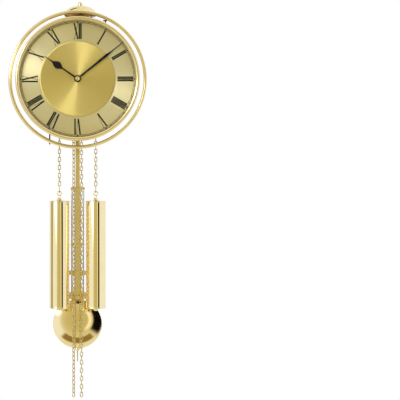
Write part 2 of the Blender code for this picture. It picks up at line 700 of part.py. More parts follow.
def make_hands():
    hour = [
        (6.0 * MM, 1.5 * MM), (30.0 * MM, 1.3 * MM), (34.5 * MM, 2.0 * MM), (38.0 * MM, 4.3 * MM),
        (41.5 * MM, 6.2 * MM), (44.5 * MM, 6.3 * MM), (48.0 * MM, 5.0 * MM), (51.5 * MM, 2.6 * MM),
        (56.0 * MM, 1.1 * MM), (63.0 * MM, 0.6 * MM),
    ]
    plate(
        "hour_hand", "blackened_steel", hand_outline(HOUR_LENGTH, HAND_BOSS_RADIUS, hour, HOUR_ANGLE),
        HOUR_HAND_BACK, HOUR_HAND_BACK + HAND_THICKNESS, [circle((0.0, 0.0), 2.3 * MM)],
    )
    minute = [
        (6.0 * MM, 1.5 * MM), (40.0 * MM, 1.7 * MM), (62.0 * MM, 2.0 * MM), (68.0 * MM, 2.0 * MM),
        (74.0 * MM, 1.1 * MM), (84.0 * MM, 0.7 * MM),
    ]
    outline = hand_outline(MINUTE_LENGTH, HAND_BOSS_RADIUS, minute, MINUTE_ANGLE)
    plate(
        "minute_hand", "blackened_steel", outline,
        MINUTE_HAND_BACK, MINUTE_HAND_BACK + HAND_THICKNESS, [circle((0.0, 0.0), 1.3 * MM)],
    )
    back = MINUTE_HAND_BACK + HAND_THICKNESS + GAP
    chamfer = 0.7 * MM
    turned("hand_nut", "polished_brass", [
        (1.3 * MM, back), (HAND_NUT_RADIUS, back), (HAND_NUT_RADIUS, back + HAND_NUT_THICKNESS - chamfer),
        (HAND_NUT_RADIUS - chamfer, back + HAND_NUT_THICKNESS), (1.3 * MM, back + HAND_NUT_THICKNESS),
    ], along_y(0.0, 0.0), SMALL)


# Bell

def make_bell():
    """A shallow bell, open below, on a stand that rises from the rear plate."""
    steps = 5
    height = BELL_TOP_Z - BELL_RIM_Z
    outer, inner = [], []
    for i in range(steps + 1):
        angle = math.pi / 2 * i / steps
        outer.append((
            max(BELL_RADIUS * math.cos(angle) ** 0.75, 2.6 * MM), BELL_RIM_Z + height * math.sin(angle)
        ))
        inner.append((
            max((BELL_RADIUS - BELL_WALL) * math.cos(angle) ** 0.75, 2.6 * MM),
            BELL_RIM_Z + (height - BELL_WALL) * math.sin(angle),
        ))
    axis = along_z(BELL_X, BELL_DEPTH)
    turned("bell", "polished_brass", outer + inner[::-1], axis, MEDIUM)
    nut_base = BELL_TOP_Z + GAP
    turned("bell_nut", "polished_brass", [
        (0, nut_base + 6.4 * MM), (1.8 * MM, nut_base + 6.0 * MM), (1.8 * MM, nut_base),
        (4.0 * MM, nut_base), (4.6 * MM, nut_base + 2.0 * MM), (4.6 * MM, nut_base + 4.0 * MM),
        (3.5 * MM, nut_base + 7.0 * MM), (1.9 * MM, BELL_NUT_TOP - 0.3 * MM), (0, BELL_NUT_TOP),
    ], axis, SMALL)
    foot = PLATE_TOP - 9.0 * MM
    shoulder = BELL_TOP_Z - BELL_WALL - 1.0 * MM
    stand = turned("bell_stand", "steel", [
        (0, foot), (2.4 * MM, foot), (2.4 * MM, shoulder), (1.4 * MM, shoulder),
        (1.4 * MM, nut_base + 5.6 * MM), (0, nut_base + 5.6 * MM),
    ], axis, 12)
    block = rectangle(BELL_X - 4.0 * MM, BELL_X + 4.0 * MM, foot, PLATE_TOP - 2.0 * MM)
    boolean(stand, "UNION",
            plate_bmesh(block, REAR_PLATE_BACK + PLATE_THICKNESS + GAP, BELL_DEPTH + 2.0 * MM), "foot")


# Chains and weights

def make_chain_side(side, label, sprocket_name):
    """One sprocket with its two chain runs, and the weight on the outer run."""
    centre = (side * SPROCKET_X, SPROCKET_Z)
    groove, flange, bore = 9.2 * MM, 14.2 * MM, 2.3 * MM
    half, rim = 3.7 * MM, 0.9 * MM
    turned(sprocket_name, "satin_brass", [
        (bore, CHAIN_DEPTH - half), (flange, CHAIN_DEPTH - half), (flange, CHAIN_DEPTH - half + rim),
        (groove, CHAIN_DEPTH - half + rim), (groove, CHAIN_DEPTH + half - rim),
        (flange, CHAIN_DEPTH + half - rim), (flange, CHAIN_DEPTH + half), (bore, CHAIN_DEPTH + half),
    ], along_y(*centre), 24, (centre[0], 0.0, centre[1]))
    for name, x, bottom in (
        (f"chain_weight_{label}", side * (SPROCKET_X + CHAIN_RADIUS), EYE_Z + EYE_RADIUS + EYE_WIRE + GAP),
        (f"chain_free_{label}", side * (SPROCKET_X - CHAIN_RADIUS), FREE_CHAIN_BOTTOM),
    ):
        turned(name, "polished_brass", [
            (0, bottom), (CHAIN_WIDTH / 2, bottom), (CHAIN_WIDTH / 2, SPROCKET_Z), (0, SPROCKET_Z),
        ], along_z(x, CHAIN_DEPTH), TINY)
    make_weight(side, label)


def make_weight(side, label):
    """A brass shell with a cap, a heavy filling, and a rod with an eye and a bottom nut through both."""
    x = side * WEIGHT_X
    axis = along_z(x, CHAIN_DEPTH)
    inner = WEIGHT_RADIUS - WEIGHT_WALL
    rod, rod_hole = 2.0 * MM, 2.3 * MM
    rim_width = 0.5 * MM
    turned(f"weight_shell_{label}", "polished_brass", [
        (rod_hole, WEIGHT_BOTTOM), (WEIGHT_RADIUS - 0.8 * MM, WEIGHT_BOTTOM),
        (WEIGHT_RADIUS, WEIGHT_BOTTOM + 0.8 * MM), (WEIGHT_RADIUS, WEIGHT_BOTTOM + 2.0 * MM),
        (WEIGHT_RADIUS - rim_width, WEIGHT_BOTTOM + 2.6 * MM),
        (WEIGHT_RADIUS - rim_width, WEIGHT_TOP - 2.6 * MM), (inner, WEIGHT_TOP - 2.6 * MM),
        (inner, WEIGHT_BOTTOM + 1.2 * MM), (rod_hole, WEIGHT_BOTTOM + 1.2 * MM),
    ], axis)
    turned(f"weight_cap_{label}", "polished_brass", [
        (rod_hole, WEIGHT_TOP - 1.0 * MM), (WEIGHT_RADIUS - 1.0 * MM, WEIGHT_TOP - 2.3 * MM),
        (WEIGHT_RADIUS, WEIGHT_TOP - 2.3 * MM), (WEIGHT_RADIUS, WEIGHT_TOP - 0.6 * MM),
        (WEIGHT_RADIUS - 0.6 * MM, WEIGHT_TOP), (rod_hole, WEIGHT_TOP + 0.6 * MM),
    ], axis)
    turned(f"weight_filling_{label}", "lead", [
        (rod_hole, WEIGHT_BOTTOM + 1.5 * MM), (inner - GAP, WEIGHT_BOTTOM + 1.5 * MM),
        (inner - GAP, WEIGHT_TOP - 3.0 * MM), (rod_hole, WEIGHT_TOP - 3.0 * MM),
    ], axis, 24)
    neck_top = EYE_Z - EYE_RADIUS
    eye_rod = turned(f"weight_eye_{label}", "polished_brass", [
        (0, WEIGHT_NUT_BOTTOM), (2.6 * MM, WEIGHT_NUT_BOTTOM), (4.5 * MM, WEIGHT_NUT_BOTTOM + 1.4 * MM),
        (4.5 * MM, WEIGHT_BOTTOM - GAP),
        (rod, WEIGHT_BOTTOM - GAP), (rod, WEIGHT_TOP + 0.9 * MM), (5.0 * MM, WEIGHT_TOP + 0.9 * MM),
        (4.4 * MM, WEIGHT_TOP + 3.0 * MM), (2.0 * MM, neck_top), (0, neck_top),
    ], axis, SMALL)
    ring = [
        (EYE_RADIUS + EYE_WIRE * math.cos(2 * math.pi * i / 8),
         CHAIN_DEPTH + EYE_WIRE * math.sin(2 * math.pi * i / 8))
        for i in range(8)
    ]
    boolean(eye_rod, "UNION", turned_bmesh(ring, along_y(x, EYE_Z), SMALL), "ring")


# Pendulum

def pendulum_plate(name, finish, outline, half_thickness, holes=()):
    pivot = (0.0, -PENDULUM_DEPTH, ANCHOR_PLACE[1])
    return plate(
        name, finish, outline, PENDULUM_DEPTH - half_thickness, PENDULUM_DEPTH + half_thickness, holes, pivot
    )


def drilled(obj, centre_z):
    """Cuts the four grid-rod holes and the flat rod's slot through a cross bar, top to bottom."""
    depth = 12.0 * MM
    for i, x in enumerate((*GRID_ROD_X, *(-x for x in GRID_ROD_X))):
        hole = [(0, centre_z - depth), (GRID_ROD_RADIUS + GAP, centre_z - depth),
                (GRID_ROD_RADIUS + GAP, centre_z + depth), (0, centre_z + depth)]
        boolean(obj, "DIFFERENCE", turned_bmesh(hole, along_z(x, PENDULUM_DEPTH), 10), f"hole{i}")
    half = ROD_WIDTH / 2 + GAP
    slot = rectangle(-half, half, centre_z - depth, centre_z + depth)
    thickness = ROD_THICKNESS / 2 + GAP
    boolean(obj, "DIFFERENCE",
            plate_bmesh(slot, PENDULUM_DEPTH - thickness, PENDULUM_DEPTH + thickness), "slot")


def make_pendulum_frame():
    """A flat rod and four round rods between cross bars, and a foot plate that carries the bob."""
    half = ROD_WIDTH / 2
    pendulum_plate(
        "pendulum_rod", "polished_brass",
        rectangle(-half, half, GRID_BOTTOM, ANCHOR_PLACE[1] - GAP), ROD_THICKNESS / 2,
    )
    bars = (
        ("pendulum_bar_top", 13.9 * MM, 2.35 * MM, GRID_TOP),
        ("pendulum_bar_middle", 13.4 * MM, 2.2 * MM, -298.8 * MM),
        ("pendulum_bar_lower", 17.0 * MM, 4.4 * MM, -351.2 * MM),
    )
    for name, half_width, half_height, centre_z in bars:
        outline = capsule(half_width, half_height, centre_z)
        drilled(pendulum_plate(name, "polished_brass", outline, BAR_THICKNESS / 2), centre_z)
    boss, boss_top = 7.6 * MM, FOOT_TOP + 8.5 * MM
    foot_bottom = BOB_Z + BOB_RADIUS + 2 * GAP
    foot = [
        (-FOOT_HALF_WIDTH, foot_bottom), (FOOT_HALF_WIDTH, foot_bottom), (FOOT_HALF_WIDTH, FOOT_TOP),
        (boss, FOOT_TOP), (boss, boss_top), (-boss, boss_top), (-boss, FOOT_TOP),
        (-FOOT_HALF_WIDTH, FOOT_TOP),
    ]
    foot_plate = pendulum_plate("pendulum_foot", "polished_brass", foot, BAR_THICKNESS / 2)
    drilled(foot_plate, GRID_BOTTOM + 7.0 * MM)
    labels = ("inner_right", "outer_right", "inner_left", "outer_left")
    places = (*GRID_ROD_X, *(-x for x in GRID_ROD_X))
    for label, x in zip(labels, places):
        turned(f"pendulum_grid_rod_{label}", "chrome", [
            (0, GRID_BOTTOM), (GRID_ROD_RADIUS, GRID_BOTTOM), (GRID_ROD_RADIUS, GRID_TOP + 1.6 * MM),
            (0, GRID_TOP + 1.6 * MM),
        ], along_z(x, PENDULUM_DEPTH), 10, (0.0, -PENDULUM_DEPTH, ANCHOR_PLACE[1]))


def make_bob():
    """A lens of two spherical faces, bored for the rating screw, with a yoke over its top."""
    pivot = (0.0, -PENDULUM_DEPTH, ANCHOR_PLACE[1])
    edge = 2.5 * MM
    rise = BOB_HALF_THICKNESS - edge
    sphere = (BOB_RADIUS ** 2 + rise ** 2) / (2 * rise)
    steps = 6
    front = []
    for i in range(steps + 1):
        radius = BOB_RADIUS * math.sin(math.pi / 2 * i / steps)
        front.append((radius, edge + rise - sphere + math.sqrt(sphere ** 2 - radius ** 2)))
    profile = [(r, PENDULUM_DEPTH + h) for r, h in front] + [(r, PENDULUM_DEPTH - h) for r, h in front[::-1]]
    bob = turned("pendulum_bob", "polished_brass", profile, along_y(0.0, BOB_Z), 40, pivot)
    bore = 1.6 * MM
    reach = BOB_RADIUS + 2.0 * MM
    boolean(bob, "DIFFERENCE", turned_bmesh([
        (0, BOB_Z - reach), (bore, BOB_Z - reach), (bore, BOB_Z + reach), (0, BOB_Z + reach),
    ], along_z(0.0, PENDULUM_DEPTH), 10), "bore")

    bob_bottom = BOB_Z - BOB_RADIUS
    turned("rating_nut", "polished_brass", [
        (bore, bob_bottom - GAP), (4.3 * MM, bob_bottom - GAP), (4.3 * MM, bob_bottom - 2.6 * MM),
        (2.4 * MM, bob_bottom - 5.2 * MM), (bore, bob_bottom - 5.2 * MM),
    ], along_z(0.0, PENDULUM_DEPTH), SMALL, pivot)
    screw = 1.1 * MM
    screw_top = BOB_Z + BOB_RADIUS + GAP
    turned("rating_screw", "steel", [
        (0, RATING_SCREW_BOTTOM), (screw, RATING_SCREW_BOTTOM), (screw, screw_top), (0, screw_top),
    ], along_z(0.0, PENDULUM_DEPTH), TINY, pivot)

    prong = 2.4 * MM
    back = PENDULUM_DEPTH + 8.0 * MM
    top = FOOT_BOTTOM + 14.0 * MM
    inner = YOKE_HALF_WIDTH - prong
    outline = [
        (-YOKE_HALF_WIDTH, YOKE_BOTTOM), (-inner, YOKE_BOTTOM), (-inner, top - 7.0 * MM),
        (inner, top - 7.0 * MM), (inner, YOKE_BOTTOM), (YOKE_HALF_WIDTH, YOKE_BOTTOM),
        (YOKE_HALF_WIDTH, top), (-YOKE_HALF_WIDTH, top),
    ]
    yoke = plate("pendulum_yoke", "polished_brass", outline, back, back + 2.0 * MM, pivot=pivot)
    spacer = rectangle(-8.0 * MM, 8.0 * MM, top - 5.6 * MM, top - 0.6 * MM)
    boolean(yoke, "UNION",
            plate_bmesh(spacer, PENDULUM_DEPTH + BAR_THICKNESS / 2 + GAP, back + 1.0 * MM), "spacer")


def main():
    clear_scene()
    make_back_plate()
    make_case_band()
    make_dial()
    make_bezel()
    make_hoop()
    make_struts()
    make_movement_plates()
    make_pillars()
    make_going_train()
    make_anchor()
    make_suspension()
    make_strike()
    make_motion_work()
    make_hands()
    make_bell()
    make_chain_side(-1, "left", "sprocket_strike")
    make_chain_side(1, "right", "sprocket_time")
    make_pendulum_frame()
    make_bob()


main()
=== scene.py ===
"""Looks for the weight-driven wall clock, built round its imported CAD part."""

import math
import random

import bmesh
import bpy
from mathutils import Matrix, Vector


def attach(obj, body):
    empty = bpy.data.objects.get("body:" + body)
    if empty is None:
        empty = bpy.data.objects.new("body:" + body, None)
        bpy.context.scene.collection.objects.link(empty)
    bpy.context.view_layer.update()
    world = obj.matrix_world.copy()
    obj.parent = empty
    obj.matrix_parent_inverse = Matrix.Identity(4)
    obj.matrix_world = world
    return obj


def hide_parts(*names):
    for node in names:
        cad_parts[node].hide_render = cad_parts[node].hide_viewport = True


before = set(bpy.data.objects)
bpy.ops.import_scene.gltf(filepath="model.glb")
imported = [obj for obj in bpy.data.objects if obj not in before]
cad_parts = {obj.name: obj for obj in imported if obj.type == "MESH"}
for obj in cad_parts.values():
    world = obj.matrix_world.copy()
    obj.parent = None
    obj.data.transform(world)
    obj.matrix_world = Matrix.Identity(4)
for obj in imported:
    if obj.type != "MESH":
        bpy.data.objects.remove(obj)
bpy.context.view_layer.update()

MM = 0.001
CHANCE = random.Random(7)

# Places shared by several pieces, in millimetres. A depth d is at y = -d.
PENDULUM_DEPTH = 28.0
CHAIN_DEPTH = 67.5
CHAIN_TOP = -24.0
SPROCKET_X = 20.1
CHAIN_RADIUS = 13.0
WEIGHT_X = 33.1
WEIGHT_EYE_Z = -203.7
FREE_X = 7.1
FREE_CHAIN_BOTTOM = -575.0
LINK_PITCH = 7.34
LINK_WIRE = 0.76
LINK_HALF_LENGTH = 4.36
LINK_HALF_WIDTH = 2.2
DIAL_BACK = 104.0
DIAL_FRONT = 105.2
DIAL_RADIUS = 108.0
DIAL_HOLE = 4.2
CENTRE_DISC_RADIUS = 67.0
CENTRE_DISC_FRONT = 106.4
TRACK_INNER = 100.3
TRACK_OUTER = 102.5
TRACK_HALF_LINE = 0.34
BEZEL_BACK = 102.6
BEZEL_RADIUS = 110.7
BEZEL_OPENING = 104.6
GLASS_RADIUS = 107.6
GLASS_FRONT = 114.2
GLASS_RISE = 2.4
GLASS_THICKNESS = 1.6
HOOP_RADIUS = 121.0
HOOP_BAR = 3.1
HOOP_DEPTH = 98.0
BAND_RADII = (94.0, 92.8)
HUB_RADIUS = 6.2
HAND_THICKNESS = 0.8
HOUR_HAND_BACK = 107.2
MINUTE_HAND_BACK = 109.0
BELL_X = 4.9
BELL_DEPTH = 50.0
BELL_RIM_Z = 124.0
BELL_HEIGHT = 16.3
BELL_RADIUS = 29.5
BELL_WALL = 1.4
BELL_SHOULDER = 0.75
BOB_Z = -446.2
BOB_RADIUS = 45.6
BOB_RISE = 8.0
BOB_EDGE = 2.5
INK_HEIGHT = 0.09
NUMERAL_FOOT = 70.9
NUMERAL_TOP = 99.0
STEM = 2.6
HAIR = 0.6


# Node helpers

def new_material(name):
    made = bpy.data.materials.new(name)
    made.use_nodes = True
    return made, made.node_tree.nodes, made.node_tree.links


def math_node(nodes, links, operation, first, second=None):
    node = nodes.new("ShaderNodeMath")
    node.operation = operation
    for slot, value in enumerate((first, second)):
        if value is None:
            continue
        if isinstance(value, (int, float)):
            node.inputs[slot].default_value = value
        else:
            links.new(value, node.inputs[slot])
    return node.outputs[0]


def noise(nodes, links, vector, scale, detail=3.0, flat=False):
    node = nodes.new("ShaderNodeTexNoise")
    node.inputs["Scale"].default_value = scale
    node.inputs["Detail"].default_value = detail
    if flat:
        node.noise_dimensions = "1D"
        links.new(vector, node.inputs["W"])
    else:
        links.new(vector, node.inputs["Vector"])
    return node.outputs["Fac"]


def spread(nodes, links, value, low, high, start=0.3, end=0.7, smooth=False):
    node = nodes.new("ShaderNodeMapRange")
    node.interpolation_type = "SMOOTHSTEP" if smooth else "LINEAR"
    node.inputs["From Min"].default_value = start
    node.inputs["From Max"].default_value = end
    node.inputs["To Min"].default_value = low
    node.inputs["To Max"].default_value = high
    links.new(value, node.inputs["Value"])
    return node.outputs["Result"]


def mix_colour(nodes, links, factor, first, second):
    node = nodes.new("ShaderNodeMix")
    node.data_type = "RGBA"
    if isinstance(factor, (int, float)):
        node.inputs[0].default_value = factor
    else:
        links.new(factor, node.inputs[0])
    for socket, value in ((node.inputs[6], first), (node.inputs[7], second)):
        if isinstance(value, tuple):
            socket.default_value = (*value, 1.0)
        else:
            links.new(value, socket)
    return node.outputs[2]


def bumped(nodes, links, height, strength, distance):
    node = nodes.new("ShaderNodeBump")
    node.inputs["Strength"].default_value = strength
    node.inputs["Distance"].default_value = distance
    links.new(height, node.inputs["Height"])
    return node.outputs["Normal"]


# Materials

def metal(name, colour, deep, rough, rough_spread, grain=0.0):
    """Metal with faint clouding, fine handling marks and a worn grain."""
    made, nodes, links = new_material(name)
    shader = nodes["Principled BSDF"]
    place = nodes.new("ShaderNodeTexCoord").outputs["Object"]
    clouds = noise(nodes, links, place, 38.0, 5.0)
    marks = noise(nodes, links, place, 1400.0, 2.0)
    links.new(
        mix_colour(nodes, links, spread(nodes, links, clouds, 0.0, 1.0), deep, colour),
        shader.inputs["Base Color"],
    )
    rubbed = math_node(nodes, links, "ADD", math_node(nodes, links, "MULTIPLY", clouds, 0.6),
                       math_node(nodes, links, "MULTIPLY", marks, 0.4))
    links.new(
        spread(nodes, links, rubbed, rough - rough_spread, rough + rough_spread),
        shader.inputs["Roughness"],
    )
    shader.inputs["Metallic"].default_value = 1.0
    if grain:
        links.new(bumped(nodes, links, marks, grain, 0.00003), shader.inputs["Normal"])
    return made


def brushed(name, colour, deep, rough, circular, anisotropy, metallic):
    """Flat metal brushed in circles, or in rays, about the dial's axis."""
    made, nodes, links = new_material(name)
    shader = nodes["Principled BSDF"]
    place = nodes.new("ShaderNodeTexCoord").outputs["Object"]
    split = nodes.new("ShaderNodeSeparateXYZ")
    links.new(place, split.inputs[0])
    x, z = split.outputs[0], split.outputs[2]
    radius = math_node(nodes, links, "SQRT", math_node(
        nodes, links, "ADD",
        math_node(nodes, links, "MULTIPLY", x, x), math_node(nodes, links, "MULTIPLY", z, z),
    ))
    angle = math_node(nodes, links, "ARCTAN2", x, z)
    clouds = noise(nodes, links, place, 25.0, 3.0)
    wander = math_node(nodes, links, "MULTIPLY", clouds, 0.002 if circular else 0.03)
    along = math_node(nodes, links, "ADD", radius if circular else angle, wander)
    lines = noise(nodes, links, along, 2600.0 if circular else 160.0, 4.0, flat=True)
    factor = spread(nodes, links, lines, 0.0, 1.0, 0.25, 0.75)
    links.new(mix_colour(nodes, links, factor, deep, colour), shader.inputs["Base Color"])
    links.new(spread(nodes, links, lines, rough - 0.03, rough + 0.03), shader.inputs["Roughness"])
    links.new(bumped(nodes, links, lines, 0.12, 0.00002), shader.inputs["Normal"])
    shader.inputs["Metallic"].default_value = metallic
    shader.inputs["Anisotropic"].default_value = anisotropy
    shader.inputs["Anisotropic Rotation"].default_value = 0.25 if circular else 0.0
    tangent = nodes.new("ShaderNodeTangent")
    tangent.direction_type = "RADIAL"
    tangent.axis = "Y"
    links.new(tangent.outputs[0], shader.inputs["Tangent"])
    return made


def paint(name, colour, worn, rough):
    """Black lacquer with faint dust and rubbed patches."""
    made, nodes, links = new_material(name)
    shader = nodes["Principled BSDF"]
    place = nodes.new("ShaderNodeTexCoord").outputs["Object"]
    dust = noise(nodes, links, place, 420.0, 6.0)
    patches = noise(nodes, links, place, 60.0, 3.0)
    links.new(
        mix_colour(nodes, links, spread(nodes, links, dust, 0.0, 0.6), colour, worn),
        shader.inputs["Base Color"],
    )
    links.new(spread(nodes, links, patches, rough - 0.08, rough + 0.08), shader.inputs["Roughness"])
    links.new(bumped(nodes, links, dust, 0.15, 0.00003), shader.inputs["Normal"])
    shader.inputs["Specular IOR Level"].default_value = 0.12
    return made


def clear_glass(name):
    made, nodes, links = new_material(name)
    shader = nodes["Principled BSDF"]
    place = nodes.new("ShaderNodeTexCoord").outputs["Object"]
    film = noise(nodes, links, place, 30.0, 4.0)
    links.new(spread(nodes, links, film, 0.015, 0.05), shader.inputs["Roughness"])
    shader.inputs["Base Color"].default_value = (0.02, 0.022, 0.02, 1.0)
    shader.inputs["Alpha"].default_value = 0.03
    shader.inputs["IOR"].default_value = 1.5
    return made


def cast_iron(name):
    made, nodes, links = new_material(name)
    shader = nodes["Principled BSDF"]
    place = nodes.new("ShaderNodeTexCoord").outputs["Object"]
    pits = noise(nodes, links, place, 700.0, 8.0)
    links.new(
        mix_colour(
            nodes, links, spread(nodes, links, pits, 0.0, 1.0), (0.05, 0.05, 0.055), (0.16, 0.15, 0.15)
        ),
        shader.inputs["Base Color"],
    )
    links.new(bumped(nodes, links, pits, 0.5, 0.0002), shader.inputs["Normal"])
    shader.inputs["Metallic"].default_value = 0.7
    shader.inputs["Roughness"].default_value = 0.7
    return made


BRASS = metal("brass_polished", (0.92, 0.78, 0.44), (0.90, 0.745, 0.40), 0.07, 0.02)
BRASS_SOFT = metal("brass_lacquered", (0.90, 0.76, 0.42), (0.86, 0.71, 0.37), 0.20, 0.04, 0.04)
# Painted shade: the bell's inside is a darker, browner copy of the brass, standing in for the shade under its
# dome.
BELL_INSIDE_PAINTED_SHADE = metal("brass_bell_inside_painted_shade", (0.50, 0.30, 0.13), (0.34, 0.18, 0.07), 0.35, 0.08, 0.1)
BRASS_SATIN = metal("brass_satin", (0.82, 0.66, 0.34), (0.72, 0.555, 0.26), 0.42, 0.06, 0.15)
BRASS_CHAIN = metal("brass_chain", (0.72, 0.58, 0.25), (0.54, 0.41, 0.14), 0.22, 0.08, 0.08)
CHROME = metal("nickel_rod", (0.56, 0.55, 0.50), (0.46, 0.45, 0.40), 0.14, 0.04)
STEEL = metal("steel_ground", (0.58, 0.58, 0.59), (0.42, 0.42, 0.43), 0.34, 0.07, 0.12)
BLUED = metal("steel_black", (0.022, 0.022, 0.026), (0.010, 0.010, 0.012), 0.36, 0.05)
DIAL_OUTER = brushed("dial_circular_brushed", (0.93, 0.83, 0.47), (0.88, 0.775, 0.41), 0.40, True, 0.94, 0.84)
DIAL_INNER = brushed("dial_ray_brushed", (0.86, 0.69, 0.23), (0.80, 0.62, 0.17), 0.40, False, 0.94, 0.86)
INK = paint("dial_ink", (0.006, 0.006, 0.006), (0.014, 0.013, 0.012), 0.5)
HAND_BLACK = paint("hand_lacquer", (0.008, 0.008, 0.010), (0.022, 0.022, 0.026), 0.36)
GLASS = clear_glass("dial_glass_clear")
IRON = cast_iron("weight_iron")


# Mesh helpers. Shapes are given in millimetres.

def finish(name, mesh, material, body, nodes=(), angle=35.0):
    mesh.shade_smooth()
    mesh.set_sharp_from_angle(angle=math.radians(angle))
    mesh.materials.clear()
    mesh.materials.append(material)
    obj = bpy.data.objects.new(name, mesh)
    bpy.context.scene.collection.objects.link(obj)
    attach(obj, body)
    if nodes:
        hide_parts(*nodes)
    return obj


def from_bmesh(name, bm, material, body, nodes=(), angle=35.0):
    bmesh.ops.recalc_face_normals(bm, faces=bm.faces)
    mesh = bpy.data.meshes.new(name)
    bm.to_mesh(mesh)
    bm.free()
    return finish(name, mesh, material, body, nodes, angle)


def along_y(x, z):
    return lambda radius, along, angle: (
        (x + radius * math.cos(angle)) * MM, -along * MM, (z + radius * math.sin(angle)) * MM
    )


def along_z(x, depth):
    return lambda radius, along, angle: (
        (x + radius * math.cos(angle)) * MM, (-depth + radius * math.sin(angle)) * MM, along * MM
    )


def eased(points, size, closed=True):
    """Rounds every corner of a line of points by up to a size."""
    made = []
    steps = 3
    count = len(points)
    for i, point in enumerate(points):
        ends = not closed and i in (0, count - 1)
        before, after = Vector(points[i - 1]), Vector(points[(i + 1) % count])
        corner = Vector(point)
        to_before, to_after = before - corner, after - corner
        if ends or to_before.length < 1e-6 or to_after.length < 1e-6:
            made.append(tuple(corner))
            continue
        cut = min(size, to_before.length * 0.45, to_after.length * 0.45)
        first = corner + to_before.normalized() * cut
        last = corner + to_after.normalized() * cut
        for k in range(steps + 1):
            t = k / steps
            made.append(tuple(first * (1 - t) ** 2 + corner * 2 * t * (1 - t) + last * t * t))
    return made


def spun(bm, profile, axis, sides):
    """Spins (radius, place along the axis). From radius 0 to radius 0 it makes a solid, otherwise a ring."""
    rings = []
    for radius, along in profile:
        count = sides if radius > 1e-6 else 1
        rings.append([bm.verts.new(axis(radius, along, 2 * math.pi * i / sides)) for i in range(count)])
    solid = profile[0][0] < 1e-6 and profile[-1][0] < 1e-6
    following = rings[1:] if solid else rings[1:] + rings[:1]
    for low, high in zip(rings, following):
        for i in range(sides):
            j = (i + 1) % sides
            corners = [low[i % len(low)], low[j % len(low)], high[j % len(high)], high[i % len(high)]]
            bm.faces.new(list(dict.fromkeys(corners)))


def lathe(name, profile, axis, material, body, nodes=(), sides=96, ease=0.3):
    closed = profile[0][0] > 1e-6
    bm = bmesh.new()
    spun(bm, eased(profile, ease, closed) if ease else profile, axis, sides)
    return from_bmesh(name, bm, material, body, nodes)


def plate(name, loops, back, front, material, body, slot, nodes=(), bevel=0.25):
    """A sheet cut to loops of (x, z) points, with eased edges, between two depths."""
    curve = bpy.data.curves.new(name, "CURVE")
    curve.dimensions = "2D"
    curve.fill_mode = "BOTH"
    curve.extrude = ((front - back) / 2 - bevel) * MM
    curve.bevel_depth = bevel * MM
    curve.bevel_resolution = 2
    curve.offset = -bevel * MM
    for loop in loops:
        spline = curve.splines.new("POLY")
        spline.points.add(len(loop) - 1)
        spline.use_cyclic_u = True
        for point, (x, z) in zip(spline.points, loop):
            point.co = (x * MM, z * MM, 0.0, 1.0)
    source = bpy.data.objects.new(name + "_source", curve)
    bpy.context.scene.collection.objects.link(source)
    bpy.context.view_layer.update()
    shape = source.evaluated_get(bpy.context.evaluated_depsgraph_get())
    mesh = bpy.data.meshes.new_from_object(shape)
    bpy.data.objects.remove(source)
    mesh.transform(
        Matrix.Translation((0.0, -(back + front) / 2 * MM, 0.0)) @ Matrix.Rotation(math.pi / 2, 4, "X")
    )
    return finish(name, mesh, material, body, nodes)


def tube(bm, points, radius, sides=10, closed=False):
    """Sweeps a round wire along points, in metres."""
    path = [Vector(p) for p in points]
    count = len(path)
    rings = []
    normal = None
    for i, point in enumerate(path):
        ahead = path[(i + 1) % count] if closed or i < count - 1 else point
        behind = path[i - 1] if closed or i > 0 else point
        tangent = (ahead - behind).normalized()
        if normal is None:
            normal = tangent.orthogonal()
        normal = (normal - tangent * normal.dot(tangent)).normalized()
        side = tangent.cross(normal)
        rings.append([
            bm.verts.new(point + (normal * math.cos(a) + side * math.sin(a)) * radius)
            for a in (2 * math.pi * k / sides for k in range(sides))
        ])
    pairs = list(zip(rings, rings[1:] + (rings[:1] if closed else [])))
    for first, second in pairs:
        for k in range(sides):
            m = (k + 1) % sides
            bm.faces.new((first[k], first[m], second[m], second[k]))
    if not closed:
        bm.faces.new(rings[0][::-1])
        bm.faces.new(rings[-1])


def circle(x, z, radius, sides=96):
    return [
        (x + radius * math.cos(2 * math.pi * i / sides), z + radius * math.sin(2 * math.pi * i / sides))
        for i in range(sides)
    ]


def rectangle(left, right, bottom, top):
    return [(left, bottom), (right, bottom), (right, top), (left, top)]


def turned(points, degrees):
    """Turns (x, z) points clockwise about the dial's axis, as seen from the front."""
    angle = math.radians(degrees)
    cos, sin = math.cos(angle), math.sin(angle)
    return [(x * cos + z * sin, z * cos - x * sin) for x, z in points]


# Bezel, glass, hoop and case

def make_bezel():
    crown = []
    for i in range(13):
        angle = math.radians(90 * i / 12)
        crown.append((BEZEL_RADIUS - 3.1 + 3.1 * math.cos(angle), 109.8 + 4.0 * math.sin(angle)))
    profile = [
        (109.1, BEZEL_BACK), (BEZEL_RADIUS, BEZEL_BACK), (BEZEL_RADIUS, 103.8), (110.45, 104.1),
        (110.45, 104.7), (BEZEL_RADIUS, 105.0), *crown, (106.5, 113.65), (106.25, 113.35), (106.0, 113.5),
        (105.2, 113.2), (BEZEL_OPENING, 112.75), (BEZEL_OPENING, 112.35), (109.1, 112.35),
    ]
    bm = bmesh.new()
    spun(bm, profile, along_y(0.0, 0.0), 200)
    from_bmesh("bezel_ring", bm, BRASS_SOFT, "bezel_door", ["bezel"])
    dome = [(GLASS_RADIUS * k / 16, GLASS_FRONT - GLASS_RISE * (k / 16) ** 2) for k in range(17)]
    hollow = [(radius, depth - GLASS_THICKNESS) for radius, depth in dome]
    bm = bmesh.new()
    spun(bm, hollow + dome[::-1], along_y(0.0, 0.0), 128)
    from_bmesh("bezel_glass", bm, GLASS, "bezel_door", ["dial_glass"])


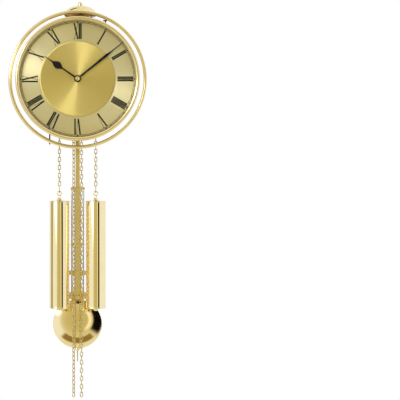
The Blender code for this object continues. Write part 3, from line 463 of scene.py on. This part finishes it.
def make_hoop():
    bm = bmesh.new()
    section = [
        (
            HOOP_RADIUS + HOOP_BAR * math.cos(2 * math.pi * i / 28),
            HOOP_DEPTH + HOOP_BAR * math.sin(2 * math.pi * i / 28),
        )
        for i in range(28)
    ]
    spun(bm, section, along_y(0.0, 0.0), 240)
    from_bmesh("hoop_round_bar", bm, BRASS, "clock_frame", ["hoop_ring"])


def make_case():
    keyhole = [
        (4.5 * math.cos(math.radians(a)), 74.0 + 4.5 * math.sin(math.radians(a)))
        for a in range(120, 421, 12)
    ]
    keyhole += [(2.2, 85.0), (-2.2, 85.0)]
    plate(
        "back_plate_sheet", [circle(0.0, 0.0, 92.0, 160), keyhole], 0.0, 1.5,
        BRASS_SATIN, "clock_frame", "satin_brass", ["back_plate"], 0.3,
    )
    bm = bmesh.new()
    steps = 138
    grid = {}
    depths = (1.8, 12.0, 28.0, 45.0, 74.0, 103.7)
    for i in range(steps + 1):
        angle = math.radians(-48 + 276 * i / steps)
        for layer, radius in enumerate(BAND_RADII):
            for k, depth in enumerate(depths):
                grid[i, layer, k] = bm.verts.new(along_y(0.0, 0.0)(radius, depth, angle))

    def kept(i, k):
        middle = -48 + 276 * (i + 0.5) / steps
        return 0 <= i < steps and 0 <= k < len(depths) - 1 and not (k >= 3 and 65 < middle < 115)

    for i in range(steps):
        for k in range(len(depths) - 1):
            if not kept(i, k):
                continue
            for layer in (0, 1):
                bm.faces.new((
                    grid[i, layer, k], grid[i + 1, layer, k], grid[i + 1, layer, k + 1], grid[i, layer, k + 1]
                ))
            for there, a, b in (
                ((i - 1, k), (i, k), (i, k + 1)), ((i + 1, k), (i + 1, k), (i + 1, k + 1)),
                ((i, k - 1), (i, k), (i + 1, k)), ((i, k + 1), (i, k + 1), (i + 1, k + 1)),
            ):
                if not kept(*there):
                    bm.faces.new((
                        grid[a[0], 0, a[1]], grid[b[0], 0, b[1]], grid[b[0], 1, b[1]], grid[a[0], 1, a[1]]
                    ))
    bmesh.ops.delete(bm, geom=[v for v in bm.verts if not v.link_faces], context="VERTS")
    from_bmesh("case_band_sheet", bm, BRASS_SATIN, "clock_frame", ["case_band"])


# Dial

def stroke(start, end, width):
    """A straight stroke between two points whose ends are level."""
    (x0, z0), (x1, z1) = start, end
    half = width / 2 * math.hypot(x1 - x0, z1 - z0) / abs(z1 - z0)
    return [(x0 - half, z0), (x0 + half, z0), (x1 + half, z1), (x1 - half, z1)]


def serif(x, z, reach, up):
    """A thin hair serif across a stroke's end, reaching out to both sides."""
    other = z + HAIR * (-1 if up else 1)
    return [(x - reach, z), (x + reach, z), (x + reach, other), (x - reach, other)]


def letter_i(x):
    foot, top = NUMERAL_FOOT, NUMERAL_TOP
    return [
        stroke((x, foot), (x, top), STEM), serif(x, foot, 2.1, False), serif(x, top, 2.1, True),
    ], 3.0


def letter_v(x):
    foot, top = NUMERAL_FOOT, NUMERAL_TOP
    return [
        stroke((x, top), (x + 3.3, foot), STEM), stroke((x + 6.5, top), (x + 3.9, foot), HAIR * 1.15),
        serif(x, top, 2.0, True), serif(x + 6.5, top, 1.5, True),
    ], 9.1


def letter_x(x):
    foot, top = NUMERAL_FOOT, NUMERAL_TOP
    return [
        stroke((x, top), (x + 6.4, foot), STEM), stroke((x + 6.2, top), (x + 0.2, foot), HAIR * 1.15),
        serif(x, top, 2.0, True), serif(x + 6.2, top, 1.5, True),
        serif(x + 6.4, foot, 2.0, False), serif(x + 0.2, foot, 1.5, False),
    ], 9.0


LETTERS = {"I": letter_i, "V": letter_v, "X": letter_x}
HOURS = ("XII", "I", "II", "III", "IIII", "V", "VI", "VII", "VIII", "IX", "X", "XI")
WIDE = {"I": 0.0, "V": 6.5, "X": 6.4}


def raised(bm, points, front, back):
    """A flat inked patch that stands just off the plate."""
    faces = []
    for depth in (front, back):
        faces.append([bm.verts.new((x * MM, -depth * MM, z * MM)) for x, z in points])
    bm.faces.new(faces[0])
    for i in range(len(points)):
        j = (i + 1) % len(points)
        bm.faces.new((faces[0][i], faces[0][j], faces[1][j], faces[1][i]))


def arc_band(bm, inner, outer, low, high, steps, front, back):
    points = []
    for radius, order in ((outer, range(steps + 1)), (inner, range(steps, -1, -1))):
        for k in order:
            angle = math.radians(low + (high - low) * k / steps)
            points.append((radius * math.sin(angle), radius * math.cos(angle)))
    raised(bm, points, front, back)


def make_dial():
    lathe(
        "dial_sheet", [
            (DIAL_HOLE, DIAL_BACK), (DIAL_RADIUS, DIAL_BACK), (DIAL_RADIUS, DIAL_FRONT),
            (DIAL_HOLE, DIAL_FRONT),
        ], along_y(0.0, 0.0), DIAL_OUTER, "clock_frame", ["dial_plate"], 160, 0.3,
    )
    bm = bmesh.new()
    spun(bm, [
        (DIAL_HOLE, 105.5), (CENTRE_DISC_RADIUS, 105.5), (CENTRE_DISC_RADIUS, 105.98), (66.9, 106.08),
        (66.1, 106.34), (65.8, CENTRE_DISC_FRONT), (DIAL_HOLE, CENTRE_DISC_FRONT),
    ], along_y(0.0, 0.0), 160)
    from_bmesh(
        "dial_centre_sheet", bm, DIAL_INNER, "clock_frame", ["dial_centre_disc"], 10.0
    )
    back = DIAL_FRONT - 0.05
    numerals = bmesh.new()
    for hour, text in enumerate(HOURS):
        places, x = [], 0.0
        for letter in text:
            patches, advance = LETTERS[letter](x)
            places += patches
            last, x = x + WIDE[letter], x + advance
        middle = last / 2
        for n, patch in enumerate(places):
            front = DIAL_FRONT + INK_HEIGHT + 0.004 * (n % 5)
            shifted = [(px - middle, pz) for px, pz in patch]
            raised(numerals, turned(shifted, hour * 30.0), front, back)
    from_bmesh("dial_numerals", numerals, INK, "clock_frame")
    track = bmesh.new()
    for radius in (TRACK_INNER, TRACK_OUTER):
        for part in range(12):
            arc_band(track, radius - TRACK_HALF_LINE, radius + TRACK_HALF_LINE, part * 30, part * 30 + 30, 15,
                     DIAL_FRONT + INK_HEIGHT, back)
    for minute in range(60):
        tick = rectangle(-0.28, 0.28, TRACK_INNER, TRACK_OUTER)
        if minute % 5 == 0:
            tick = [(0.0, 99.4), (1.2, 101.2), (1.2, 102.2), (0.0, 103.1), (-1.2, 102.2), (-1.2, 101.2)]
        raised(track, turned(tick, minute * 6.0), DIAL_FRONT + INK_HEIGHT + 0.006, back)
    from_bmesh("dial_minute_track", track, INK, "clock_frame")


# Hands

def smooth_line(stations):
    """A smooth curve through (place, half width) stations."""
    made = []
    steps = 6
    for i in range(len(stations) - 1):
        p0 = Vector(stations[max(i - 1, 0)])
        p1, p2 = Vector(stations[i]), Vector(stations[i + 1])
        p3 = Vector(stations[min(i + 2, len(stations) - 1)])
        for k in range(steps):
            t = k / steps
            made.append(tuple(0.5 * (
                2 * p1 + (p2 - p0) * t + (2 * p0 - 5 * p1 + 4 * p2 - p3) * t * t
                + (3 * p1 - p0 - 3 * p2 + p3) * t ** 3
            )))
    return made + [stations[-1]]


def hand(name, stations, length, degrees, back, bore, body, node):
    line = smooth_line(stations)
    start = math.asin(stations[0][1] / HUB_RADIUS)
    right = []
    for i in range(24):
        angle = math.pi + (start - math.pi) * i / 24
        right.append((HUB_RADIUS * math.sin(angle), HUB_RADIUS * math.cos(angle)))
    right += [(half, z) for z, half in line]
    left = [(-x, z) for x, z in right[:0:-1]]
    outline = turned(right + [(0.0, length)] + left, degrees)
    plate(name, [outline, circle(0.0, 0.0, bore, 32)], back, back + HAND_THICKNESS, HAND_BLACK, body,
          "black_steel", [node], 0.16)


def make_hands():
    hand("hour_hand_blade", [
        (6.0, 1.5), (22.0, 1.35), (31.0, 1.3), (34.5, 2.0), (38.0, 4.5), (41.5, 6.3),
        (44.0, 6.5), (48.0, 5.0), (51.5, 2.6), (56.0, 1.1), (63.0, 0.65), (69.5, 0.45),
    ], 70.5, 304.2, HOUR_HAND_BACK, 2.3, "hour_hand_body", "hour_hand")
    hand("minute_hand_blade", [
        (6.0, 1.5), (40.0, 1.8), (60.0, 2.3), (67.0, 2.2),
        (73.0, 1.4), (78.0, 0.85), (90.0, 0.65), (103.0, 0.5),
    ], 104.5, 51.2, MINUTE_HAND_BACK, 1.3, "minute_hand_body", "minute_hand")
    lathe(
        "hand_nut_turned", [
            (1.3, 110.1), (4.1, 110.1), (4.1, 111.3), (3.5, 112.0), (2.2, 112.0), (1.9, 111.7), (1.3, 111.7),
        ], along_y(0.0, 0.0), BRASS, "minute_hand_body", ["hand_nut"], 48, 0.25,
    )


# Bell

def make_bell():
    outer, inner = [], []
    for i in range(25):
        angle = math.pi / 2 * i / 24
        for line, wall in ((outer, 0.0), (inner, BELL_WALL)):
            radius = (BELL_RADIUS - wall) * math.cos(angle) ** BELL_SHOULDER
            line.append((max(radius, 2.6), BELL_RIM_Z + (BELL_HEIGHT - wall) * math.sin(angle)))
    bm = bmesh.new()
    spun(bm, outer + inner[::-1], along_z(BELL_X, BELL_DEPTH), 96)
    dome = from_bmesh("bell_dome", bm, BRASS, "clock_frame", ["bell"])
    dome.data.materials.append(BELL_INSIDE_PAINTED_SHADE)
    for face in dome.data.polygons:
        middle = face.center
        reach = math.hypot(middle.x - BELL_X * MM, middle.y + BELL_DEPTH * MM) / ((BELL_RADIUS - 0.7) * MM)
        rise = math.sin(math.acos(min(reach, 1.0) ** (1 / BELL_SHOULDER)))
        # Faces below the middle of the bell's wall are its inside. They get the darker brass, which is
        # painted shade under the dome.
        if middle.z < (BELL_RIM_Z + (BELL_HEIGHT - 0.8) * rise) * MM:
            face.material_index = 1
    lathe("bell_nut_turned", [
        (0, 147.0), (1.8, 146.6), (1.8, 140.6), (4.0, 140.6), (4.7, 142.6), (4.7, 144.6), (3.9, 147.0),
        (2.2, 148.6), (0, 149.0),
    ], along_z(BELL_X, BELL_DEPTH), BRASS, "clock_frame", ["bell_nut"], 48, 1.2)


# Chains and weights

def link(bm, centre, turn, tilt):
    """One oval link about a centre in millimetres."""
    straight = LINK_HALF_LENGTH - LINK_HALF_WIDTH
    points = []
    steps = 7
    for end in (1, -1):
        for k in range(steps + 1):
            angle = math.pi * k / steps - math.pi / 2
            across = LINK_HALF_WIDTH * math.sin(angle) * -end
            along = end * (straight + LINK_HALF_WIDTH * math.cos(angle))
            points.append(Vector((across, 0.0, along)))
    spin = Matrix.Rotation(tilt, 3, "Y") @ Matrix.Rotation(turn, 3, "Z")
    tube(bm, [(Vector(centre) + spin @ p) * MM for p in points], LINK_WIRE * MM, 8, True)


def chain_run(bm, x, low, high, twist):
    count = round((high - low) / LINK_PITCH)
    for i in range(count):
        z = low + LINK_HALF_LENGTH + LINK_WIRE + i * LINK_PITCH
        if z + LINK_HALF_LENGTH > high + 3.0:
            break
        turn = math.radians(twist + 90.0 * (i % 2) + CHANCE.uniform(-9.0, 9.0))
        link(bm, (x, -CHAIN_DEPTH, z), turn, math.radians(CHANCE.uniform(-1.2, 1.2)))


def make_chains():
    hook_bottom = -202.6
    for side, label in ((-1, "left"), (1, "right")):
        x = side * WEIGHT_X
        bm = bmesh.new()
        chain_run(bm, x, -191.0, CHAIN_TOP, 0.0 if side > 0 else 12.0)
        hook = [
            (x, -CHAIN_DEPTH + 0.4, -190.6), (x, -CHAIN_DEPTH - 1.6, -191.4), (x, -CHAIN_DEPTH - 1.8, -193.2),
            (x, -CHAIN_DEPTH, -195.4), (x, -CHAIN_DEPTH, -197.2),
        ]
        for k in range(9):
            angle = math.radians(200 * k / 8)
            hook.append((x, -CHAIN_DEPTH + 2.1 * math.sin(angle), hook_bottom + 2.1 + 2.1 * math.cos(angle)))
        hook.append((x, -CHAIN_DEPTH - 1.7, hook_bottom + 1.6))
        tube(bm, [Vector(p) * MM for p in hook], 0.62 * MM, 10)
        from_bmesh(f"weight_chain_{label}_links", bm, BRASS_CHAIN, f"weight_{label}",
                   [f"chain_weight_{label}"], 50.0)
        bm = bmesh.new()
        chain_run(bm, side * FREE_X, FREE_CHAIN_BOTTOM, CHAIN_TOP, 45.0 if side < 0 else 0.0)
        from_bmesh(f"free_chain_{label}_links", bm, BRASS_CHAIN, f"free_chain_{label}",
                   [f"chain_free_{label}"], 50.0)
        bm = bmesh.new()
        for i in range(6):
            angle = math.radians(15 + 30 * i)
            across = side * SPROCKET_X + CHAIN_RADIUS * math.cos(angle)
            place = (across, -CHAIN_DEPTH, CHAIN_TOP + CHAIN_RADIUS * math.sin(angle))
            link(bm, place, math.radians(90.0 * (i % 2)), -angle)
        from_bmesh(f"chain_over_sprocket_{label}", bm, BRASS_CHAIN, "clock_frame", (), 50.0)


def make_weights():
    for side, label in ((-1, "left"), (1, "right")):
        body = f"weight_{label}"
        axis = along_z(side * WEIGHT_X, CHAIN_DEPTH)
        top, bottom, nut = -217.0, -412.3, -417.4
        lathe(f"weight_tube_{label}", [
            (2.3, bottom), (17.7, bottom), (18.4, bottom + 0.7), (18.4, bottom + 1.9), (18.0, bottom + 2.4),
            (18.0, top - 2.7), (17.4, top - 2.7), (17.4, bottom + 1.3), (2.3, bottom + 1.3),
        ], axis, BRASS, body, [f"weight_shell_{label}"], 96, 0.35)
        lathe(f"weight_lid_{label}", [
            (2.3, top - 1.0), (17.4, top - 2.4), (18.4, top - 2.4), (18.4, top - 0.8), (17.7, top),
            (15.0, top + 0.1), (8.0, top + 0.5), (2.3, top + 0.6),
        ], axis, BRASS, body, [f"weight_cap_{label}"], 96, 0.35)
        bm = bmesh.new()
        neck = eased([
            (0, nut), (2.4, nut), (4.5, nut + 1.5), (4.5, bottom - 1.0), (3.4, bottom - 0.3),
            (2.0, bottom - 0.3), (2.0, top + 0.9), (5.0, top + 0.9), (4.8, top + 2.0),
            (3.0, top + 4.2), (2.0, top + 6.6),
            (1.8, top + 9.0), (0, top + 9.2),
        ], 0.5, False)
        spun(bm, neck, axis, 40)
        ring = [
            (
                (side * WEIGHT_X + 3.7 * math.cos(a)) * MM, -CHAIN_DEPTH * MM,
                (WEIGHT_EYE_Z + 3.7 * math.sin(a)) * MM,
            )
            for a in (2 * math.pi * k / 36 for k in range(36))
        ]
        tube(bm, ring, 1.0 * MM, 12, True)
        from_bmesh(f"weight_neck_{label}", bm, BRASS, body, [f"weight_eye_{label}"])


# Pendulum

def capsule(half_width, half_height, centre):
    points = []
    for side in (1, -1):
        for i in range(15):
            angle = math.pi * i / 14 - math.pi / 2
            x = side * (half_width - half_height + half_height * math.cos(angle))
            points.append((x, centre + side * half_height * math.sin(angle)))
    return points


def make_pendulum():
    body = "pendulum_body"
    slab = (PENDULUM_DEPTH - 2.5, PENDULUM_DEPTH + 2.5)
    plate("pendulum_flat_rod", [rectangle(-3.95, 3.95, -396.0, 49.7)], PENDULUM_DEPTH - 0.8,
          PENDULUM_DEPTH + 0.8, BRASS_SOFT, body, "polished_brass", ["pendulum_rod"], 0.2)
    for label, half_width, half_height, centre in (
        ("top", 13.9, 2.35, -194.0), ("middle", 13.4, 2.2, -298.8), ("lower", 17.0, 4.4, -351.2),
    ):
        plate(f"pendulum_cross_{label}", [capsule(half_width, half_height, centre)], *slab, BRASS_SOFT, body,
              "polished_brass", [f"pendulum_bar_{label}"], 0.6)
    foot = eased([
        (-17.5, -400.0), (17.5, -400.0), (17.5, -387.5), (7.6, -387.5), (7.6, -379.0), (-7.6, -379.0),
        (-7.6, -387.5), (-17.5, -387.5),
    ], 0.9)
    plate("pendulum_foot_plate", [foot], *slab, BRASS_SOFT, body, "polished_brass", ["pendulum_foot"], 0.6)
    for label, x in (
        ("inner_right", 5.35), ("outer_right", 11.1), ("inner_left", -5.35), ("outer_left", -11.1),
    ):
        lathe(f"grid_rod_{label}", [(0, -396.0), (1.3, -396.0), (1.3, -192.4), (0, -192.4)],
              along_z(x, PENDULUM_DEPTH), CHROME, body, [f"pendulum_grid_rod_{label}"], 24, 0.3)
    yoke = eased([
        (-11.6, -417.3), (-9.2, -417.3), (-9.2, -400.0), (9.2, -400.0), (9.2, -417.3), (11.6, -417.3),
        (11.6, -393.0), (-11.6, -393.0),
    ], 0.5)
    plate("pendulum_yoke_plate", [yoke], 36.0, 38.0, BRASS_SOFT, body, "polished_brass",
          ["pendulum_yoke"], 0.3)
    plate("pendulum_yoke_spacer", [rectangle(-8.0, 8.0, -398.6, -393.6)], 30.8, 36.1, BRASS_SOFT, body,
          "polished_brass", (), 0.2)
    sphere = (BOB_RADIUS ** 2 + BOB_RISE ** 2) / (2 * BOB_RISE)
    face = []
    for i in range(37):
        r = (BOB_RADIUS - 0.6) * math.sin(math.pi / 2 * i / 36)
        face.append((r, BOB_EDGE + BOB_RISE - sphere + math.sqrt(sphere ** 2 - r ** 2)))
    rim = [(BOB_RADIUS - 0.2, BOB_EDGE - 0.3), (BOB_RADIUS, BOB_EDGE - 1.0)]
    front = face + rim
    profile = [(r, PENDULUM_DEPTH + h) for r, h in front] + [(r, PENDULUM_DEPTH - h) for r, h in front[::-1]]
    bm = bmesh.new()
    spun(bm, profile, along_y(0.0, BOB_Z), 160)
    from_bmesh("bob_lens", bm, BRASS, body, ["pendulum_bob"], 60.0)
    screw = [(0, -516.8), (0.8, -516.8)]
    for i in range(46):
        z = -516.3 + i * 0.52
        screw += [(1.1, z), (0.9, z + 0.26)]
    screw += [(1.1, -400.5), (0, -400.5)]
    bm = bmesh.new()
    spun(bm, screw, along_z(0.0, PENDULUM_DEPTH), 20)
    from_bmesh("rating_screw_thread", bm, BRASS_CHAIN, body, ["rating_screw"])
    nut = bmesh.new()
    wide = []
    for radius_here, z in ((1.3, -492.1), (4.1, -492.1), (4.3, -492.4), (4.3, -494.4), (4.0, -494.8),
                           (2.4, -497.0), (1.3, -497.0)):
        wide.append((radius_here, z))
    spun(nut, wide, along_z(0.0, PENDULUM_DEPTH), 48)
    from_bmesh("rating_nut_turned", nut, BRASS_SOFT, body, ["rating_nut"])


# Finishes of the pieces that keep their solids

def dress_solids():
    finishes = {
        STEEL: ("anchor_and_crutch", "suspension_spring", "bell_stand", "hammer", "cannon_pinion"),
        BLUED: ("hoop_strut_upper", "hoop_strut_lower"),
        BRASS_SATIN: (
            "movement_front_plate", "movement_rear_plate", "pillar_lower_left", "pillar_lower_right",
            "pillar_upper_left", "pillar_upper_right", "suspension_cock", "hour_wheel", "minute_wheel",
            "third_wheel", "centre_wheel", "great_wheel_time", "great_wheel_strike", "escape_wheel",
            "sprocket_time", "sprocket_strike",
        ),
        IRON: ("weight_filling_left", "weight_filling_right"),
    }
    for material, names in finishes.items():
        for name in names:
            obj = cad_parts[name]
            obj.data.materials.clear()
            obj.data.materials.append(material)


# Studio

def make_world():
    """A studio seen in the metal, laid out by angle from straight ahead and by clock direction."""
    world = bpy.data.worlds.new("studio")
    bpy.context.scene.world = world
    world.use_nodes = True
    nodes, links = world.node_tree.nodes, world.node_tree.links
    nodes.clear()
    split = nodes.new("ShaderNodeSeparateXYZ")
    links.new(nodes.new("ShaderNodeTexCoord").outputs["Generated"], split.inputs[0])
    x, y, z = split.outputs
    degrees = 180 / math.pi
    away = math_node(nodes, links, "ARCCOSINE", math_node(nodes, links, "MULTIPLY", y, -1.0))
    away = math_node(nodes, links, "MULTIPLY", away, degrees)
    clock = math_node(nodes, links, "MULTIPLY", math_node(nodes, links, "ARCTAN2", x, z), degrees)
    below = math_node(nodes, links, "SUBTRACT", 180.0, math_node(nodes, links, "ABSOLUTE", clock))

    def band(value, low, high, soft_low, soft_high):
        rise = spread(nodes, links, value, 0.0, 1.0, low - soft_low, low + soft_low, True)
        fall = spread(nodes, links, value, 1.0, 0.0, high - soft_high, high + soft_high, True)
        return math_node(nodes, links, "MULTIPLY", rise, fall)

    def patch(colour_before, colour, rings, sector):
        mask = math_node(nodes, links, "MULTIPLY", band(*rings), band(*sector))
        return mix_colour(nodes, links, mask, colour_before, colour)

    ramp = nodes.new("ShaderNodeValToRGB")
    links.new(math_node(nodes, links, "DIVIDE", away, 180.0), ramp.inputs[0])
    stops = [
        (0.0, (0.60, 0.53, 0.27)), (16 / 180, (0.64, 0.57, 0.31)), (30 / 180, (0.78, 0.74, 0.52)),
        (52 / 180, (0.95, 0.94, 0.86)), (100 / 180, (0.90, 0.89, 0.80)), (1.0, (1.0, 1.0, 0.98)),
    ]
    elements = ramp.color_ramp.elements
    for position, colour in stops[1:-1]:
        elements.new(position)
    for element, (position, colour) in zip(elements, stops):
        element.position = position
        element.color = (*colour, 1.0)
    colour = ramp.outputs[0]
    white = (0.98, 1.02, 1.12)
    colour = patch(colour, white, (away, 29, 76, 5, 3), (clock, -138, -22, 14, 14))
    colour = patch(colour, white, (away, 46, 128, 3, 12), (clock, 25, 140, 12, 12))
    colour = patch(colour, (1.1, 1.08, 0.95), (away, 18, 23, 1.5, 1.5), (clock, 40, 140, 15, 15))
    colour = patch(colour, (0.004, 0.003, 0.003), (away, 26, 42, 1, 1.5), (clock, -6, 128, 6, 8))
    colour = patch(colour, (0.01, 0.008, 0.006), (away, 88, 104, 1.5, 2), (clock, -140, -10, 12, 12))
    colour = patch(colour, (0.30, 0.21, 0.07), (away, 30, 40, 0.8, 0.8), (below, -60, 42, 1, 5))
    colour = patch(colour, (7.0, 7.3, 8.2), (away, 34, 62, 6, 6), (clock, -76, -52, 5, 6))
    lit = nodes.new("ShaderNodeBackground")
    links.new(colour, lit.inputs["Color"])
    seen = nodes.new("ShaderNodeBackground")
    seen.inputs["Color"].default_value = (1.0, 1.0, 1.0, 1.0)
    choice = nodes.new("ShaderNodeMixShader")
    links.new(nodes.new("ShaderNodeLightPath").outputs["Is Camera Ray"], choice.inputs[0])
    links.new(lit.outputs[0], choice.inputs[1])
    links.new(seen.outputs[0], choice.inputs[2])
    links.new(choice.outputs[0], nodes.new("ShaderNodeOutputWorld").inputs[0])


def make_floor():
    bm = bmesh.new()
    bmesh.ops.create_grid(bm, x_segments=1, y_segments=1, size=6.0)
    bmesh.ops.translate(bm, verts=bm.verts, vec=(0.0, 0.0, -0.62))
    mesh = bpy.data.meshes.new("floor")
    bm.to_mesh(mesh)
    bm.free()
    floor = bpy.data.objects.new("floor", mesh)
    bpy.context.scene.collection.objects.link(floor)
    made, nodes, links = new_material("floor_pale")
    shader = nodes["Principled BSDF"]
    shader.inputs["Base Color"].default_value = (0.9, 0.9, 0.88, 1.0)
    shader.inputs["Roughness"].default_value = 0.9
    glow = nodes.new("ShaderNodeEmission")
    glow.inputs["Color"].default_value = (1.0, 1.0, 1.0, 1.0)
    choice = nodes.new("ShaderNodeMixShader")
    links.new(nodes.new("ShaderNodeLightPath").outputs["Is Camera Ray"], choice.inputs[0])
    links.new(shader.outputs[0], choice.inputs[1])
    links.new(glow.outputs[0], choice.inputs[2])
    links.new(choice.outputs[0], nodes["Material Output"].inputs["Surface"])
    mesh.materials.append(made)
    floor.visible_glossy = False


def make_camera():
    data = bpy.data.cameras.new("camera")
    data.lens = 80.9
    data.sensor_width = 36.0
    data.shift_x = 0.306
    camera = bpy.data.objects.new("camera", data)
    camera.location = (0.0, -1.705, -0.2156)
    camera.rotation_euler = (math.pi / 2, 0.0, 0.0)
    bpy.context.scene.collection.objects.link(camera)
    bpy.context.scene.camera = camera


make_bezel()
make_hoop()
make_case()
make_dial()
make_hands()
make_bell()
make_chains()
make_weights()
make_pendulum()
dress_solids()
make_world()
make_floor()
make_camera()
bpy.context.scene.view_settings.view_transform = "Standard"
